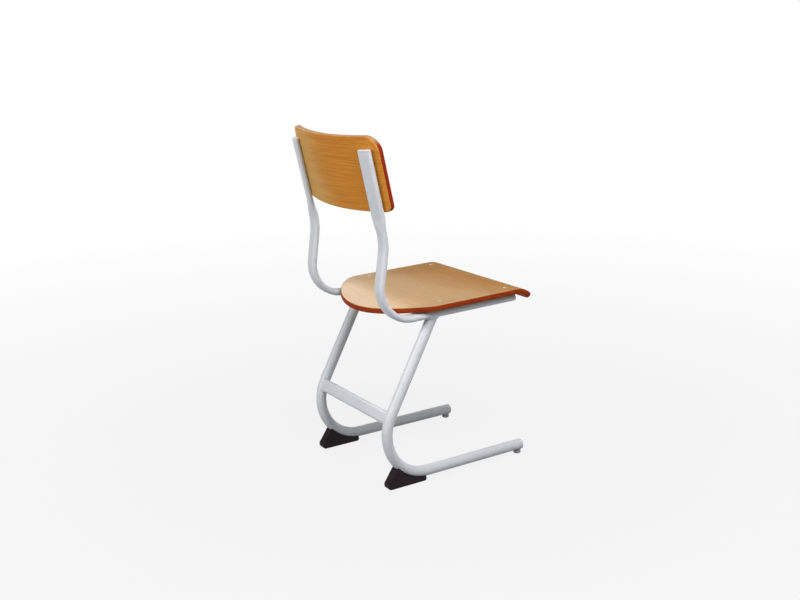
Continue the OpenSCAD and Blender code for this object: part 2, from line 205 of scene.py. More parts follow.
class ChairFastenerSettings(PropertyGroup):
    head_radius: length("Head radius", "Radius of the rivet heads", 4 * MM)
    head_rise: length("Head rise", "Height of the rivet heads", 1.5 * MM)
    bead_radius: length("Weld radius", "Radius of the weld beads between tubes", 2.4 * MM)
    bead_pitch: length("Weld pitch", "Distance between the ripples of a weld bead", 2.2 * MM)


class ChairColourSettings(PropertyGroup):
    paint: colour("Paint", "Powder coat of the tubes", (0.60, 0.628, 0.66))
    seat_pale: colour("Seat pale", "Early wood of the seat's veneer", (0.525, 0.252, 0.066))
    seat_deep: colour("Seat deep", "Late wood of the seat's veneer", (0.36, 0.145, 0.027))
    # Painted sheen: paler veneer that stands in for light glancing off the seat's rear
    seat_painted_sheen: colour("Seat faded", "Veneer of the seat where it is worn pale", (0.65, 0.42, 0.205))
    back_pale: colour("Back pale", "Early wood of the back's veneer", (0.625, 0.258, 0.036))
    back_deep: colour("Back deep", "Late wood of the back's veneer", (0.425, 0.142, 0.0105))
    # Painted sheen: paler veneer that stands in for light glancing off one side of the back
    back_painted_sheen: colour("Back faded", "Veneer of the back where it is worn pale", (0.64, 0.36, 0.095))
    seat_stain: colour("Seat edge", "Red-brown stain on the seat's edge", (0.30, 0.041, 0.007))
    back_stain: colour("Back edge", "Red stain on the back's edge", (0.27, 0.027, 0.008))
    # Pale colour of the back's upper edge, where the stain is left off
    pale_edge: colour("Bare edge", "Unstained layers on the back's upper edge", (0.40, 0.24, 0.14))
    glue: colour("Glue lines", "Dark lines in the stained edges", (0.10, 0.016, 0.007))
    plastic: colour("Foot plastic", "Moulded plastic of the feet", (0.011, 0.0042, 0.006))
    plug: colour("Plug plastic", "Moulded plastic of the plugs", (0.60, 0.63, 0.66))
    spacer: colour("Spacer plastic", "Moulded plastic of the spacers and glides", (0.30, 0.30, 0.31))
    # Aluminium tinted warm: a painted reflection of the wood that the domed heads mirror
    rivet: colour("Rivet", "Aluminium of the rivets", (0.86, 0.77, 0.60))
    screw: colour("Screw", "Zinc plate of the foot screws", (0.55, 0.55, 0.54))
    floor: colour("Floor", "Pale studio floor", (0.26, 0.26, 0.26))


class ChairStageSettings(PropertyGroup):
    camera_place: FloatVectorProperty(
        name="Camera place",
        description="Where the photographer's camera stands",
        default=(-2.0909, RUNNER_FRONT + 1.60743, 1.0446),
        unit="LENGTH",
        subtype="TRANSLATION",
    )
    camera_turn: FloatVectorProperty(
        name="Camera turn",
        description="Yaw from the front, pitch and roll of the camera",
        default=(radians(56.906), radians(-14.676), radians(-0.914)),
        subtype="EULER",
    )
    lens: FloatProperty(
        name="Lens", description="Focal length on a 36 mm sensor", default=49.29, unit="CAMERA"
    )
    rear_power: power("Rear", "Power of the softbox behind", 53.0)
    high_power: power("High", "Power of the high softbox behind", 18.0)
    side_power: power("Side", "Power of the softbox over the right side", 24.0)
    near_power: power("Near", "Power of the low softbox on the right", 2.8)
    far_power: power("Far", "Power of the softbox on the left", 25.0)
    front_power: power("Front", "Power of the low softbox in front", 20.0)
    sky: FloatProperty(name="Sky", description="Strength of the even studio light", default=0.1)


def settings_group(kind, name, description):
    """A group of settings as a property."""
    return PointerProperty(type=kind, name=name, description=description)


class ChairSettings(PropertyGroup):
    seat: settings_group(ChairSeatSettings, "Seat", "Sizes of the plywood seat")
    back: settings_group(ChairBackSettings, "Back", "Sizes of the plywood back")
    edges: settings_group(ChairEdgeSettings, "Edges", "Roundings and the steps of their strips")
    fasteners: settings_group(ChairFastenerSettings, "Fasteners", "Sizes of the rivets and welds")
    colours: settings_group(ChairColourSettings, "Colours", "Colours of the finishes and the floor")
    stage: settings_group(ChairStageSettings, "Stage", "Camera and lights")


def settings():
    """The chair's settings in the current scene."""
    return bpy.context.scene.chair


# Node helpers


def feed(tree, target, value):
    """Links a socket to an input, or sets the input's value."""
    if isinstance(value, bpy.types.NodeSocket):
        tree.links.new(value, target)
    elif target.type == "RGBA" and len(value) == 3:
        target.default_value = (*value, 1.0)
    else:
        target.default_value = value


def give(tree, node, **values):
    """Feeds a node's inputs, named by keyword with underscores for spaces."""
    for key, value in values.items():
        feed(tree, node.inputs[key.replace("_", " ")], value)


def add_node(tree, kind, inputs=None, **values):
    """A new node's outputs; keywords set its properties, then its inputs are fed by name or number."""
    node = tree.nodes.new(kind)
    for key, value in values.items():
        setattr(node, key, value)
    for key, value in (inputs or {}).items():
        feed(tree, node.inputs[key], value)
    return node.outputs


def maths(tree, operation, first, second=0.0, clamp=False):
    """A Math node's output."""
    inputs = {0: first, 1: second}
    return add_node(tree, "ShaderNodeMath", inputs, operation=operation, use_clamp=clamp)[0]


def blend(tree, factor, first, second):
    """A colour Mix node's output."""
    inputs = {0: factor, 6: first, 7: second}
    return add_node(tree, "ShaderNodeMix", inputs, data_type="RGBA")[2]


def ramp(tree, value, low, high, to_low=0.0, to_high=1.0, kind="SMOOTHSTEP"):
    """A Map Range node's output: to_low at low and below, to_high at high and above."""
    inputs = {"Value": value, "From Min": low, "From Max": high, "To Min": to_low, "To Max": to_high}
    return add_node(tree, "ShaderNodeMapRange", inputs, interpolation_type=kind)["Result"]


def noise(tree, vector, scale, detail=3.0, roughness=0.5):
    """A Noise Texture's value; a scale for each axis stretches it."""
    if isinstance(scale, tuple):
        vector = add_node(tree, "ShaderNodeMapping", {"Vector": vector, "Scale": scale})["Vector"]
        scale = 1.0
    inputs = {"Vector": vector, "Scale": scale, "Detail": detail, "Roughness": roughness}
    return add_node(tree, "ShaderNodeTexNoise", inputs)["Fac"]


def bump(tree, height, strength, relief):
    """A Bump node's normal."""
    inputs = {"Strength": strength, "Distance": relief, "Height": height}
    return add_node(tree, "ShaderNodeBump", inputs)["Normal"]


def new_group(name, kind, inputs, outputs):
    """An empty node group with named sockets; returns the tree, what it is given and its last node."""
    tree = bpy.data.node_groups.new(name, kind)
    for way, sockets in (("INPUT", inputs), ("OUTPUT", outputs)):
        for label, socket in sockets.items():
            tree.interface.new_socket(label, in_out=way, socket_type="NodeSocket" + socket)
    return tree, add_node(tree, "NodeGroupInput"), tree.nodes.new("NodeGroupOutput")


def place_group(tree, group, **values):
    """The outputs of a shader group placed in a material, its inputs named by keyword."""
    return add_node(tree, "ShaderNodeGroup", values, node_tree=group)


# Effects that several finishes share


def orange_peel_group():
    """Fine rolling texture and slight tone drift of a sprayed or moulded skin."""
    name = "chair_orange_peel"
    if name in bpy.data.node_groups:
        return bpy.data.node_groups[name]
    inputs = {"Vector": "Vector", "Scale": "Float"}
    outputs = {"Height": "Float", "Tone": "Float", "Dull": "Float"}
    tree, given, last = new_group(name, "ShaderNodeTree", inputs, outputs)
    vector, scale = given["Vector"], given["Scale"]
    peel = noise(tree, vector, scale, detail=1.5, roughness=0.45)
    fine = noise(tree, vector, maths(tree, "MULTIPLY", scale, 4.0), detail=1.0)
    give(
        tree,
        last,
        Height=maths(tree, "ADD", peel, maths(tree, "MULTIPLY", fine, 0.22)),
        Tone=noise(tree, vector, 14.0, detail=4.0, roughness=0.6),
        Dull=noise(tree, vector, 55.0, detail=5.0, roughness=0.65),
    )
    return tree


def veneer_group():
    """Sliced veneer: straight streaks, short pores and slow drifts of colour, on a map in metres."""
    name = "chair_veneer"
    if name in bpy.data.node_groups:
        return bpy.data.node_groups[name]
    inputs = {"Vector": "Vector", "Pale": "Color", "Deep": "Color"}
    outputs = {"Color": "Color", "Height": "Float", "Dull": "Float"}
    tree, given, last = new_group(name, "ShaderNodeTree", inputs, outputs)
    vector = given["Vector"]
    wander = noise(tree, vector, (4.0, 9.0, 1.0), detail=2.0)
    bent = add_node(tree, "ShaderNodeCombineXYZ", {"Y": maths(tree, "MULTIPLY", wander, 0.016)})[0]
    along = add_node(tree, "ShaderNodeVectorMath", {0: vector, 1: bent}, operation="ADD")[0]
    bands = noise(tree, along, (2.2, 60.0, 1.0), roughness=0.55)
    streaks = noise(tree, along, (9.0, 330.0, 1.0), roughness=0.6)
    pores = noise(tree, along, (85.0, 2100.0, 1.0), detail=2.0)
    pore_mask = ramp(tree, pores, 0.60, 0.72)
    # How far bands, streaks and pores each darken the pale wood
    banded = ramp(tree, bands, 0.3, 0.7, 0.0, 0.2)
    streaked = maths(tree, "ADD", banded, ramp(tree, streaks, 0.3, 0.72, 0.0, 0.6))
    shade = maths(tree, "ADD", streaked, maths(tree, "MULTIPLY", pore_mask, 0.36), clamp=True)
    give(
        tree,
        last,
        Color=blend(tree, shade, given["Pale"], given["Deep"]),
        Height=maths(tree, "SUBTRACT", maths(tree, "MULTIPLY", streaks, 0.5), pore_mask),
        Dull=shade,
    )
    return tree


# Finishes


def new_material(name):
    """A material with a bare Principled BSDF; returns the material, its tree and the shader."""
    material = bpy.data.materials.new(name)
    material.use_nodes = True
    tree = material.node_tree
    return material, tree, tree.nodes["Principled BSDF"]


def sprayed_finish(name, base, rough, peel_scale, relief, tone_spread, shine, metallic):
    """Powder coat, moulded plastic or satin metal: a skin with orange peel and slight drifts."""
    material, tree, shader = new_material(name)
    place = add_node(tree, "ShaderNodeTexCoord")["Object"]
    skin = place_group(tree, orange_peel_group(), Vector=place, Scale=peel_scale)
    darker = tuple(c * (1 - tone_spread) for c in base)
    paler = tuple(min(1.0, c * (1 + tone_spread)) for c in base)
    smoothest, roughest = rough - ROUGHNESS_SPREAD, rough + ROUGHNESS_SPREAD
    tone = ramp(tree, skin["Tone"], 0.3, 0.7)
    give(
        tree,
        shader,
        Base_Color=blend(tree, tone, darker, paler),
        Roughness=ramp(tree, skin["Dull"], 0.0, 1.0, smoothest, roughest, "LINEAR"),
        Metallic=metallic,
        Specular_IOR_Level=shine,
        Normal=bump(tree, skin["Height"], SKIN_BUMP, relief),
    )
    return material


def plywood_finish(name, panel, painted_sheen_way, painted_sheen_start, start, lacquer):
    """Plywood: lacquered veneer on the faces and layers on the edges, stained where the panel says so.
    A painted sheen makes the veneer paler in the given direction of its flat map, from the given start on.
    The edge's colour starts at a share of the thickness below the upper face."""
    colours = settings().colours
    pale, deep, painted_sheen, stain = (
        getattr(colours, f"{panel}_{part}") for part in ("pale", "deep", "painted_sheen", "stain")
    )
    material, tree, shader = new_material(name)
    flat = add_node(tree, "ShaderNodeUVMap", uv_map="flat")["UV"]
    # Painted sheen: a slow drift to the paler veneer, with clouds in it
    drift = add_node(tree, "ShaderNodeVectorMath", {0: flat, 1: painted_sheen_way}, operation="DOT_PRODUCT")
    cloud = noise(tree, flat, (5.0, 9.0, 1.0), detail=2.0)
    cloudy = maths(tree, "ADD", drift["Value"], maths(tree, "MULTIPLY", cloud, 0.5))
    pale_share = ramp(tree, cloudy, painted_sheen_start, painted_sheen_start + 0.7, 0.0, 0.8)
    veneer = place_group(
        tree,
        veneer_group(),
        Vector=flat,
        Pale=blend(tree, pale_share, pale, painted_sheen),
        Deep=blend(tree, pale_share, deep, tuple(0.7 * c for c in painted_sheen)),
    )
    # Patchy layers on the pale or stained edge, and a dark line where it meets the veneer
    edge, depth, stained = (
        add_node(tree, "ShaderNodeAttribute", attribute_name=part)["Fac"]
        for part in ("edge", "depth", "stain")
    )
    layers = maths(tree, "SINE", maths(tree, "MULTIPLY", depth, PLY_LAYERS * 2 * pi))
    patch = noise(tree, flat, (60.0, 60.0, 1.0), detail=4.0)
    layer_mask = ramp(tree, layers, 0.35, 0.95)
    uneven = maths(tree, "MULTIPLY", layer_mask, ramp(tree, patch, 0.3, 0.8, 0.0, 0.5))
    layered = blend(tree, uneven, blend(tree, stained, colours.pale_edge, stain), colours.glue)
    meeting = ramp(tree, depth, start + 0.05, start + 0.14, 0.4, 0.0)
    edged = blend(tree, meeting, layered, colours.glue)
    on_edge = ramp(tree, edge, 0.05, 0.2)
    mask = maths(tree, "MULTIPLY", on_edge, ramp(tree, depth, start, start + 0.04))
    give(
        tree,
        shader,
        Base_Color=blend(tree, mask, veneer["Color"], edged),
        Roughness=ramp(tree, veneer["Dull"], 0.0, 1.0, 0.5, 0.65, "LINEAR"),
        Specular_IOR_Level=0.05,
        Coat_Weight=ramp(tree, mask, 0.0, 1.0, lacquer, 0.0, "LINEAR"),
        Coat_Roughness=0.34,
        Normal=bump(tree, veneer["Height"], VENEER_BUMP, VENEER_RELIEF),
    )
    return material


def finish(name):
    """The chair's finishes by name, each made once."""
    if name in bpy.data.materials:
        return bpy.data.materials[name]
    colours = settings().colours
    # Colour, roughness, peel scale, relief, spread of tone, shine and metal
    skins = {
        "chair_powder_coat": (colours.paint, 0.4, 420.0, 0.04 * MM, 0.035, 0.25, 0.0),
        "chair_foot_plastic": (colours.plastic, 0.6, 900.0, 0.2 * MM, 0.18, 0.2, 0.0),
        "chair_plug_plastic": (colours.plug, 0.45, 700.0, 0.1 * MM, 0.04, 0.5, 0.0),
        "chair_spacer_plastic": (colours.spacer, 0.55, 700.0, 0.1 * MM, 0.06, 0.5, 0.0),
        "chair_rivet_metal": (colours.rivet, 0.5, 600.0, 0.08 * MM, 0.06, 0.5, 1.0),
        "chair_screw_steel": (colours.screw, 0.35, 800.0, 0.08 * MM, 0.1, 0.5, 1.0),
    }
    # Panel, direction and start of the painted sheen, where the edge's colour starts, and weight of the
    # lacquer
    plywoods = {
        "chair_seat_plywood": ("seat", SEAT_PAINTED_SHEEN, -0.9, 0.04, 1.0),
        "chair_back_plywood": ("back", BACK_PAINTED_SHEEN, 0.1, 0.19, 0.12),
    }
    if name in skins:
        return sprayed_finish(name, *skins[name])
    return plywood_finish(name, *plywoods[name])


def coat_node(node, material):
    """Gives a CAD node's own mesh a finish."""
    NODES[node].data.materials.clear()
    NODES[node].data.materials.append(material)


# Mesh helpers


def placed(name, data):
    """A new object in the scene that shows the given data."""
    obj = bpy.data.objects.new(name, data)
    bpy.context.scene.collection.objects.link(obj)
    return obj


def mesh_of(bm, name):
    """A mesh with what a bmesh holds; the bmesh is freed."""
    mesh = bpy.data.meshes.new(name)
    bm.to_mesh(mesh)
    bm.free()
    return mesh


def to_object(name, mesh, material, slot, *stands_for):
    """Links a finished mesh as a piece of the chair."""
    obj = placed(name, mesh)
    mesh.materials.clear()
    mesh.materials.append(material)
    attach(obj, BODY)
    if stands_for:
        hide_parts(*stands_for)


def plain_mesh(obj, name):
    """The evaluated object as a plain mesh; the object itself is removed."""
    graph = bpy.context.evaluated_depsgraph_get()
    mesh = bpy.data.meshes.new_from_object(obj.evaluated_get(graph), depsgraph=graph)
    mesh.name = name
    bpy.data.objects.remove(obj)
    return mesh


def weighted(bm, name):
    """A smooth mesh whose normals follow its large faces."""
    for face in bm.faces:
        face.smooth = True
    helper = placed(name + "_helper", mesh_of(bm, name))
    modifier = helper.modifiers.new("normals", "WEIGHTED_NORMAL")
    modifier.mode = "FACE_AREA"
    modifier.weight = 80
    modifier.keep_sharp = True
    return plain_mesh(helper, name)


def arc(centre, radius, start, end, step):
    """Places on an arc, both ends in, each with its outward direction; angles in radians."""
    count = max(2, ceil(abs(end - start) * radius / step))
    angles = [start + (end - start) * i / count for i in range(count + 1)]
    outward = [(cos(a), sin(a)) for a in angles]
    return [(centre[0] + radius * x, centre[1] + radius * y, x, y) for x, y in outward]


def mirrored(half):
    """A right half of an outline completed with its mirror image."""
    return half + [(-x, y, -out_x, out_y) for x, y, out_x, out_y in reversed(half)]


def rounded_plate(outline, thickness, roundings, stains, stained_low, cut_axis, cuts):
    """A flat plate below Z = 0 with rounded rims, cut into strips along one axis, as a bmesh.
    Each place of the outline has its own rounding and strength of stain.
    With stained_low, the whole lower rim counts as edge.
    Each vertex keeps its stain, how far round the edge it lies and how deep it lies in the thickness."""
    edges = settings().edges
    bm = bmesh.new()
    edge = bm.verts.layers.float.new("edge")
    depth = bm.verts.layers.float.new("depth")
    stain = bm.verts.layers.float.new("stain")
    quarter = [pi / 2 * i / edges.rim_steps for i in range(edges.rim_steps + 1)]
    rim = [(1 - sin(a), 1 - cos(a), 0.0, 2 * a / pi) for a in quarter]
    flat = (1.0, 0.0, edges.stain_band, 0.0)
    rows = [(*row, False) for row in [flat] + rim] + [(*row, True) for row in rim[::-1] + [flat]]
    rings = []
    for inward, drop, more, mark, low in rows:
        ring = []
        for (x, y, out_x, out_y), rounding, strength in zip(outline, roundings, stains):
            inset = rounding * inward + more
            z = rounding * drop - thickness if low else -rounding * drop
            v = bm.verts.new((x - out_x * inset, y - out_y * inset, z))
            v[edge] = 1.0 if low and stained_low and not more else mark
            v[depth] = -z / thickness
            v[stain] = strength
            ring.append(v)
        rings.append(ring)
    bm.faces.new(rings[0])
    bm.faces.new(rings[-1][::-1])
    for upper, lower in zip(rings, rings[1:]):
        for i in range(len(outline)):
            j = (i + 1) % len(outline)
            bm.faces.new((upper[i], lower[i], lower[j], upper[j]))
    for place in cuts:
        normal = Vector((0, 0, 0))
        normal[cut_axis] = 1.0
        geometry = bm.verts[:] + bm.edges[:] + bm.faces[:]
        bmesh.ops.bisect_plane(bm, geom=geometry, plane_co=normal * place, plane_no=normal, dist=HAIR)
    return bm


def bent_panel(name, bm, unroll, bend):
    """Maps the plate's flat places to a UV map in metres, bends it and returns its mesh."""
    uv = bm.loops.layers.uv.new("flat")
    for face in bm.faces:
        for loop in face.loops:
            loop[uv].uv = unroll(loop.vert.co)
    for v in bm.verts:
        v.co = bend(v.co)
    bmesh.ops.recalc_face_normals(bm, faces=bm.faces)
    if bm.calc_volume(signed=True) < 0:
        bmesh.ops.reverse_faces(bm, faces=bm.faces)
    return weighted(bm, name)


def joined_copy(node):
    """A bmesh of a CAD node, its doubled vertices joined."""
    bm = bmesh.new()
    bm.from_mesh(NODES[node].data)
    bmesh.ops.remove_doubles(bm, verts=bm.verts, dist=WELD_DISTANCE)
    return bm


def softened_copy(node, name, rounding, steps, keep):
    """A copy of a CAD node with its sharp edges rounded, but for those that the test keeps sharp."""
    bm = joined_copy(node)
    bmesh.ops.dissolve_limit(bm, angle_limit=FLAT_ANGLE, verts=bm.verts, edges=bm.edges)
    sharp = [e for e in bm.edges if e.is_manifold and e.calc_face_angle(0.0) > SHARP_ANGLE]
    if keep:
        sharp = [e for e in sharp if not any(keep(v.co) for v in e.verts)]
    bmesh.ops.bevel(
        bm, geom=sharp, offset=rounding, offset_type="OFFSET", segments=steps, profile=0.5, affect="EDGES"
    )
    return weighted(bm, name)


def separate_solids(node):
    """The vertex places of each separate solid in a CAD node."""
    bm = joined_copy(node)
    left = set(bm.verts)
    solids = []
    for first in bm.verts:
        if first not in left:
            continue
        left.remove(first)
        stack = [first]
        places = []
        while stack:
            v = stack.pop()
            places.append(v.co.copy())
            for e in v.link_edges:
                other = e.other_vert(v)
                if other in left:
                    left.remove(other)
                    stack.append(other)
        solids.append(places)
    bm.free()
    return solids


def lathe(profile, turns):
    """A closed turned solid from (radius, height) points that start and end on the axis."""
    bm = bmesh.new()
    rings = []
    for radius, height in profile:
        if radius < HAIR:
            rings.append([bm.verts.new((0, 0, height))])
        else:
            angles = [2 * pi * i / turns for i in range(turns)]
            places = [(radius * cos(a), radius * sin(a), height) for a in angles]
            rings.append([bm.verts.new(place) for place in places])
    for low, high in zip(rings, rings[1:]):
        for i in range(turns):
            j = (i + 1) % turns
            corners = [low[i % len(low)], low[j % len(low)], high[j % len(high)], high[i % len(high)]]
            bm.faces.new(list(dict.fromkeys(corners)))
    bmesh.ops.recalc_face_normals(bm, faces=bm.faces)
    return bm


# Seat and back


def seat_outline(seat, half_width, step):
    """Plan of the seat as flat points: Y runs to the rear, unrolled at the front."""
    front = -seat.front - seat.front_roll * seat.front_turn
    corner_x = half_width - seat.corner
    rear_centre = seat.rear_reach - seat.rear_radius
    corner_y = rear_centre + sqrt((seat.rear_radius - seat.corner) ** 2 - corner_x**2)
    meet = atan2(corner_y - rear_centre, corner_x)
    r = seat.front_corner
    right_half = arc((half_width - r, front + r), r, -pi / 2, 0, step / 2)
    right_half += arc((corner_x, corner_y), seat.corner, 0, meet, step)
    right_half += arc((0, rear_centre), seat.rear_radius, meet, pi / 2, step)[1:-1]
    return mirrored(right_half)


def seat_bend(seat):
    """Function from the flat plate to the bent seat in the chair's frame."""

    def bend(flat):
        x, y, z = flat
        if y < -seat.front:
            turn = (-seat.front - y) / seat.front_roll
            radius = seat.front_roll + z
            ahead = seat.front + radius * sin(turn)
            place = Vector((x, -ahead, seat.top - seat.front_roll + radius * cos(turn)))
        else:
            past = max(0.0, y + seat.rear_start)
            upper = sqrt(seat.rear_roll**2 - past**2)
            lower = sqrt((seat.rear_roll - seat.thickness) ** 2 - past**2)
            deep = -z / seat.thickness
            place = Vector((x, y, seat.top - seat.rear_roll + upper + (lower - upper) * deep))
        return RAIL_FRAME @ place

    return bend


def evenly(low, high, step):
    """Places between low and high, neither end in, about a step apart."""
    count = max(1, round((high - low) / step))
    return [low + (high - low) * i / count for i in range(1, count)]


class CHAIR_OT_seat(Operator):
    """Build the bent plywood seat with rounded, stained edges and a nose that is dark red-brown below"""

    bl_idname = "chair.seat"
    bl_label = "Seat"

    def execute(self, context):
        seat, edges = settings().seat, settings().edges
        half_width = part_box("seat_panel")[1].x
        front_end = -seat.front - seat.front_roll * seat.front_turn
        cuts = [-seat.front, edges.stain_band - seat.front, -seat.rear_start]
        # The tighter front roll takes finer strips
        cuts += evenly(front_end, -seat.front, edges.strip * 0.6)
        cuts += evenly(-seat.rear_start, seat.rear_reach, edges.strip)
        outline = seat_outline(seat, half_width, edges.strip)
        more = edges.nose_round - edges.seat_round
        roundings = [edges.seat_round + more * max(0.0, -out_y) for _, _, _, out_y in outline]
        bm = rounded_plate(outline, seat.thickness, roundings, [1.0] * len(outline), True, 1, cuts)
        # The edge's dark red-brown also covers the underside of the front roll
        edge = bm.verts.layers.float["edge"]
        for v in bm.verts:
            if v.co.z < -0.99 * seat.thickness and v.co.y < HAIR - seat.front:
                v[edge] = 1.0
        mesh = bent_panel("seat_shell", bm, lambda flat: (flat.x, flat.y), seat_bend(seat))
        to_object("seat_shell", mesh, finish("chair_seat_plywood"), "seat_plywood", "seat_panel")
        return {"FINISHED"}


def back_outline(back, half_width, step):
    """Front view of the back, counter-clockwise."""
    a, b = back.top_corner, back.low_corner
    right = arc((half_width - b, -back.below + b), b, -pi / 2, 0, step / 2)
    right += arc((half_width - a, back.above - a), a, 0, pi / 2, step)
    return mirrored(right)


class CHAIR_OT_back(Operator):
    """Build the curved plywood back with rounded, stained edges"""

    bl_idname = "chair.back"
    bl_label = "Back"

    def execute(self, context):
        back, edges = settings().back, settings().edges
        # The fixing point between the uprights, found from the CAD back's rear and upper limits
        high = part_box("back_panel")[1]
        half_width = high.x
        tube_axis = back.radius + back.tube_depth / 2
        axis_back = sqrt(tube_axis**2 - SIDE**2)
        crown = (back.radius - axis_back) * cos(BACK_RECLINE)
        foot_y = high.y - crown - back.above * sin(BACK_RECLINE)
        foot_z = high.z - back.above * cos(BACK_RECLINE)
        front_at = half_width - back.top_corner
        front_edge = sqrt((back.radius - back.thickness) ** 2 - front_at**2)
        foot_z += (front_edge - axis_back) * sin(BACK_RECLINE)
        back_frame = Matrix.Translation((0, foot_y, foot_z)) @ BACK_TURN
        cuts = evenly(-half_width, half_width, edges.strip)

        def bend(flat):
            x, up, z = flat
            rear = sqrt(back.radius**2 - x**2)
            front = sqrt((back.radius - back.thickness) ** 2 - x**2)
            deep = -z / back.thickness
            return back_frame @ Vector((x, -axis_back + rear + (front - rear) * deep, up))

        def unroll(flat):
            return (back.radius * asin(flat.x / back.radius), flat.y)

        outline = back_outline(back, half_width, edges.strip / 2)
        more = edges.crown_round - edges.back_round
        roundings = [edges.back_round + more * max(0.0, out_y) for _, _, _, out_y in outline]
        # The stain fades out round the upper corners, and the upper edge stays pale
        stains = [min(1.0, max(0.0, (0.75 - out_y) / 0.35)) for _, _, _, out_y in outline]
        bm = rounded_plate(outline, back.thickness, roundings, stains, False, 0, cuts)
        mesh = bent_panel("back_shell", bm, unroll, bend)
        to_object("back_shell", mesh, finish("chair_back_plywood"), "back_plywood", "back_panel")
        return {"FINISHED"}


# Tubes, welds, feet and small pieces


class CHAIR_OT_frame(Operator):
    """Powder coat the bent tubes"""

    bl_idname = "chair.frame"
    bl_label = "Tubes"

    def execute(self, context):
        for node in FRAME_TUBES:
            coat_node(node, finish("chair_powder_coat"))
        return {"FINISHED"}


def geometry_tree(name, inputs):
    """An empty Geometry Nodes tree that takes a geometry, the given inputs and a material."""
    inputs = {"Geometry": "Geometry", **inputs, "Material": "Material"}
    return new_group(name, "GeometryNodeTree", inputs, {"Geometry": "Geometry"})


def end_tree(tree, geometry, material, last):
    """Every tree's last steps: smooth, realized, with its material."""
    smooth = add_node(tree, "GeometryNodeSetShadeSmooth", {"Geometry": geometry})["Geometry"]
    real = add_node(tree, "GeometryNodeRealizeInstances", {"Geometry": smooth})["Geometry"]
    painted = {"Geometry": real, "Material": material}
    give(tree, last, Geometry=add_node(tree, "GeometryNodeSetMaterial", painted)["Geometry"])


def weld_tree():
    """Geometry nodes: a rippled bead swept along closed edges."""
    inputs = {"Bead Radius": "Float", "Ripple Pitch": "Float"}
    tree, given, last = geometry_tree("chair_weld_bead", inputs)
    pitch = given["Ripple Pitch"]
    path = add_node(tree, "GeometryNodeMeshToCurve", {"Mesh": given["Geometry"]})["Curve"]
    spacing = {"Curve": path, "Length": maths(tree, "DIVIDE", pitch, 4.0)}
    even = add_node(tree, "GeometryNodeResampleCurve", spacing, mode="LENGTH")["Curve"]
    along = add_node(tree, "GeometryNodeSplineParameter")["Length"]
    turns = maths(tree, "DIVIDE", along, pitch)
    wave = maths(tree, "SINE", maths(tree, "MULTIPLY", turns, 2 * pi))
    swell = maths(tree, "ADD", maths(tree, "MULTIPLY", wave, 0.07), 1.0)
    size = {"Resolution": 12, "Radius": given["Bead Radius"]}
    circle = add_node(tree, "GeometryNodeCurvePrimitiveCircle", size)["Curve"]
    swept = {"Curve": even, "Profile Curve": circle, "Scale": swell}
    bead = add_node(tree, "GeometryNodeCurveToMesh", swept)["Mesh"]
    end_tree(tree, bead, given["Material"], last)
    return tree


def run_tree(name, mesh, tree, **values):
    """The plain mesh that a tree makes of a mesh; inputs named by keyword, underscores for spaces."""
    helper = placed(name + "_helper", mesh)
    modifier = helper.modifiers.new("nodes", "NODES")
    modifier.node_group = tree
    sockets = {s.name: s.identifier for s in tree.interface.items_tree if s.in_out == "INPUT"}
    for key, value in values.items():
        modifier[sockets[key.replace("_", " ")]] = value
    return plain_mesh(helper, name)


def loop_mesh(name, loops):
    """Closed loops of points as bare edges."""
    mesh = bpy.data.meshes.new(name)
    points, edges = [], []
    for loop in loops:
        start = len(points)
        points += [tuple(p) for p in loop]
        edges += [(start + i, start + (i + 1) % len(loop)) for i in range(len(loop))]
    mesh.from_pydata(points, edges, [])
    return mesh


def flat_oval(step):
    """Outline of the flat-oval tube, across and up, with its outward directions."""
    right = arc((OVAL_FLAT, 0), OVAL_RADIUS, -pi / 2, pi / 2, step)
    left = arc((-OVAL_FLAT, 0), OVAL_RADIUS, pi / 2, 3 * pi / 2, step)
    return right + left


def leg_top_loop(hand, step):
    """Where the leg's round tube meets the underside of the seat rail."""
    along = Vector((0, -sin(LEG_LEAN), cos(LEG_LEAN)))
    foot = LEG_BEND + LEG_BEND_RADIUS * Vector((0, cos(LEG_LEAN), sin(LEG_LEAN)))
    normal = Matrix.Rotation(-RAIL_SLOPE, 3, "X") @ Vector((0, 0, 1))
    across = along.cross(Vector((1, 0, 0)))
    points = []
    for x, y, _, _ in arc((0, 0), LEG_RADIUS, 0, 2 * pi, step)[:-1]:
        start = foot + Vector((x, 0, 0)) + y * across
        off = max(0.0, abs(x) - OVAL_FLAT)
        # The bead climbs half as far as the oval's rounded sides
        round_up = OVAL_RADIUS - sqrt(OVAL_RADIUS**2 - off**2)
        level = RAIL_START - normal * (OVAL_RADIUS - 0.5 * round_up)
        reach = (level - start).dot(normal) / along.dot(normal)
        points.append(start + along * reach + Vector((hand * SIDE, 0, 0)))
    return points


def stretcher_loop(hand, step):
    """Where the stretcher's flat-oval end meets the bend of a leg."""
    tall = Vector((0, -sin(STRETCHER_ANGLE), cos(STRETCHER_ANGLE)))
    thin = Vector((0, cos(STRETCHER_ANGLE), sin(STRETCHER_ANGLE)))
    centre = LEG_BEND + LEG_BEND_RADIUS * thin
    points = []
    for up, out, _, _ in flat_oval(step):
        place = centre + tall * up + thin * out
        off = (place - LEG_BEND).length - LEG_BEND_RADIUS
        place.x = hand * (SIDE - sqrt(max(0.0, LEG_RADIUS**2 - off**2)))
        points.append(place)
    return points


def cross_rail_loop(hand, step):
    """Where the hidden cross rail meets the rounded inner side of a seat rail."""
    points = []
    for along, up, _, _ in flat_oval(step):
        half = OVAL_FLAT + sqrt(max(0.0, OVAL_RADIUS**2 - up**2))
        points.append(RAIL_FRAME @ Vector((hand * (SIDE - half), along - CROSS_RAIL_SETBACK, up)))
    return points


